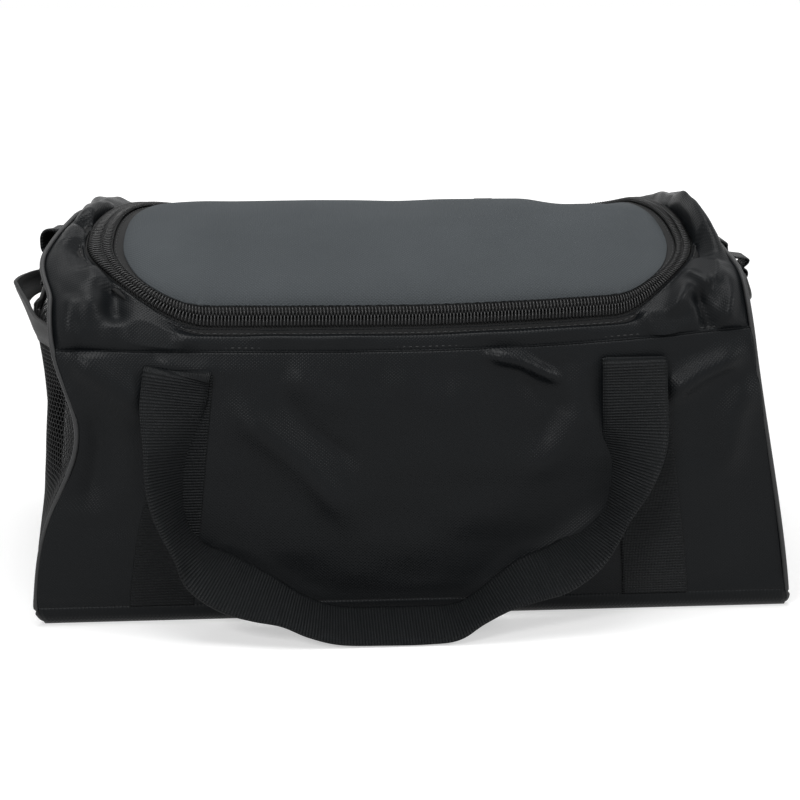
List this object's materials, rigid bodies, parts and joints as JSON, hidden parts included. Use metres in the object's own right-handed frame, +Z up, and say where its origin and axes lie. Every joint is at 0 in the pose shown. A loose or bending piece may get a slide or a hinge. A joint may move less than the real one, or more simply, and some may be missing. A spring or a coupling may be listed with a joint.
{
  "type": "duffel bag",
  "caption": "Soft black duffel bag with a zipped fold-back lid on an arched crown, two webbing carry handles, end loops with D-rings and a mesh pocket on one end.",
  "frame": {"origin": "middle of the base, on the surface the bag stands on", "axes": "+X along the bag to the right as its lid's zipper is faced, -Y the front face with the zipper's front run, +Z up"},
  "size_m": [0.468, 0.3606, 0.231],
  "materials": {
    "body_cloth": "woven polyester, satin",
    "lid_cloth": "woven polyester over foam, satin",
    "foam": "closed-cell foam",
    "lining": "coated back of the cloth",
    "board": "matt polyethylene sheet",
    "piping": "folded binding",
    "binding": "ribbed binding tape",
    "zipper_tape": "woven tape",
    "zipper_coil": "nylon coil",
    "zipper_metal": "black lacquer",
    "webbing": "ribbed polypropylene webbing",
    "ring": "moulded acetal",
    "mesh": "open knit mesh"
  },
  "bodies": {
    "bag": {"back_panel": "body_cloth", "back_webbing_left": "webbing", "back_webbing_right": "webbing", "base_board": "board", "body_zipper_coil": "zipper_coil", "body_zipper_tape": "zipper_tape", "bottom_panel": "body_cloth", "crown_gusset_back": "body_cloth", "crown_gusset_front": "body_cloth", "crown_gusset_left": "body_cloth", "crown_gusset_right": "body_cloth", "end_loop_left": "webbing", "end_loop_right": "webbing", "end_panel_left": "body_cloth", "end_panel_right": "body_cloth", "end_piping_left": "piping", "end_piping_right": "piping", "front_panel": "body_cloth", "front_webbing_left": "webbing", "front_webbing_right": "webbing", "inner_seam_tape_left": "binding", "inner_seam_tape_right": "binding", "lid_fold_strip": "body_cloth", "mesh_pocket": "mesh", "pocket_hem": "binding", "ring_tab_left": "webbing", "ring_tab_right": "webbing", "zipper_stops": "zipper_metal"},
    "lid": {"lid_cloth": "lid_cloth", "lid_foam": "foam", "lid_lining": "lining", "lid_zipper_tape": "zipper_tape", "lid_zipper_coil": "zipper_coil"},
    "slider": {"zipper_slider": "zipper_metal"},
    "pull": {"zipper_pull": "zipper_metal"},
    "front_handle": {"front_handle": "webbing"},
    "back_handle": {"back_handle": "webbing"},
    "ring_left": {"d_ring_left": "ring"},
    "ring_right": {"d_ring_right": "ring"}
  },
  "joints": [
    {"name": "lid_fold", "type": "hinge", "parent": "bag", "child": "lid", "pos_m": [0, 0.058, 0.22211], "axis": [-1, 0, 0], "range_deg": [0, 130]},
    {"name": "slider_travel", "type": "slide", "parent": "bag", "child": "slider", "axis": [1, 0, 0], "range_m": [0, 0.024]},
    {"name": "pull_hinge", "type": "hinge", "parent": "slider", "child": "pull", "pos_m": [0.0625, 0.07451, 0.21806], "axis": [0, 0.9114, -0.4114], "range_deg": [0, 175]},
    {"name": "front_handle_hinge", "type": "hinge", "parent": "bag", "child": "front_handle", "pos_m": [0, -0.1237, 0.15101], "axis": [-1, 0, 0], "range_deg": [0, 155]},
    {"name": "back_handle_hinge", "type": "hinge", "parent": "bag", "child": "back_handle", "pos_m": [0, 0.1237, 0.15101], "axis": [1, 0, 0], "range_deg": [0, 155]},
    {"name": "ring_left_swing", "type": "hinge", "parent": "bag", "child": "ring_left", "pos_m": [-0.22017, 0, 0.184], "axis": [0, 1, 0], "range_deg": [-40, 120]},
    {"name": "ring_right_swing", "type": "hinge", "parent": "bag", "child": "ring_right", "pos_m": [0.22017, 0, 0.184], "axis": [0, -1, 0], "range_deg": [-40, 120]}
  ]
}
